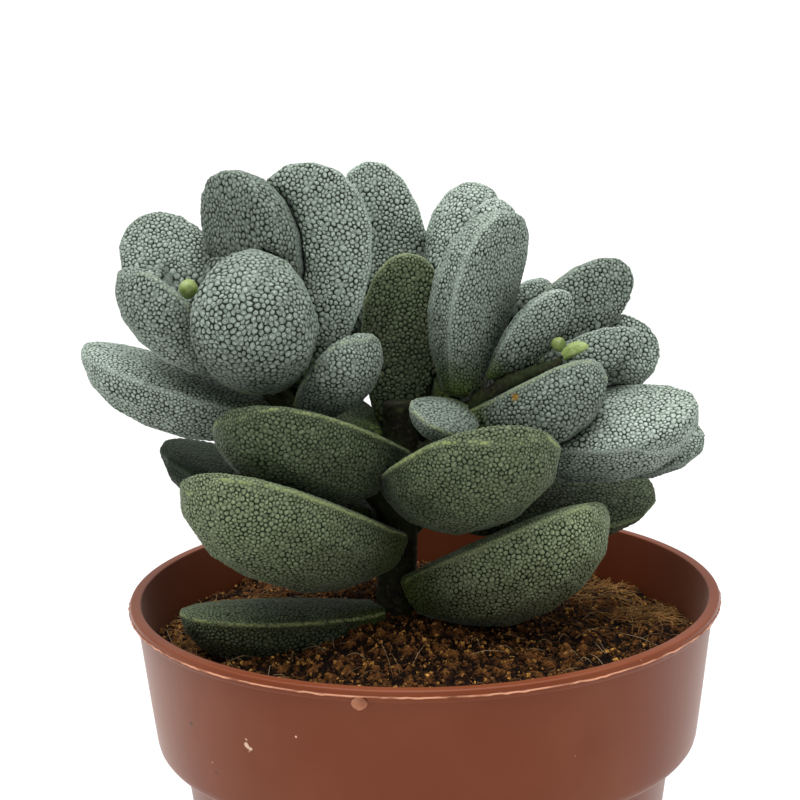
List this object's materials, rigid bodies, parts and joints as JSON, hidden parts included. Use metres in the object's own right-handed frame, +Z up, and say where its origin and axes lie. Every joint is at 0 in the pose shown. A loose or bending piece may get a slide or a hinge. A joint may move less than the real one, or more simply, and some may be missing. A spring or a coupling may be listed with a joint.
{
  "type": "potted crassula",
  "caption": "Small branching succulent with thick, bubbly grey-green leaves, rooted in coir soil in a round terracotta-coloured plastic nursery pot.",
  "frame": {"origin": "centre of the pot's flat underside, on the surface it stands on", "axes": "+Z up along the pot's turning axis, +X to the right and -Y towards the viewer as the plant is shown from its front"},
  "size_m": [0.0906, 0.0848, 0.1324],
  "materials": {
    "leaf": "fleshy leaf, matte, covered in pale silvery bubbles over dark green",
    "leaf_tip": "young leaf, smooth fresh green",
    "stem": "fleshy green to brown stem, matte",
    "soil": "coir and peat crumbs with pale fibres",
    "pot": "moulded plastic, terracotta brown, satin"
  },
  "bodies": {
    "root": {"leaf_back_inner": "leaf", "leaf_back_left": "leaf", "leaf_back_outer": "leaf", "leaf_back_right": "leaf", "leaf_back_right_far": "leaf", "leaf_back_right_low": "leaf", "leaf_back_side_left": "leaf", "leaf_back_tip": "leaf_tip", "leaf_centre_upright": "leaf", "leaf_floor_front_left": "leaf", "leaf_left_back_low": "leaf", "leaf_left_back_outer": "leaf", "leaf_left_inner_right": "leaf", "leaf_left_inner_side": "leaf", "leaf_left_outer": "leaf", "leaf_left_round_front": "leaf", "leaf_left_side": "leaf", "leaf_left_small_right": "leaf", "leaf_left_tip_a": "leaf_tip", "leaf_left_tip_b": "leaf_tip", "leaf_left_top_back": "leaf", "leaf_left_top_front": "leaf", "leaf_low_back": "leaf", "leaf_low_back_left": "leaf", "leaf_low_back_right": "leaf", "leaf_low_front_left": "leaf", "leaf_low_front_right": "leaf", "leaf_mid_back_left": "leaf", "leaf_mid_back_right": "leaf", "leaf_mid_front_left": "leaf", "leaf_mid_front_right": "leaf", "leaf_right_back_low": "leaf", "leaf_right_behind": "leaf", "leaf_right_front": "leaf", "leaf_right_inner": "leaf", "leaf_right_outer": "leaf", "leaf_right_outer_back": "leaf", "leaf_right_small": "leaf", "leaf_right_small_left": "leaf", "leaf_right_tall": "leaf", "leaf_right_tip_a": "leaf_tip", "leaf_right_tip_b": "leaf_tip", "leaf_right_top": "leaf", "pot": "pot", "soil": "soil", "stem": "stem"}
  },
  "joints": []
}
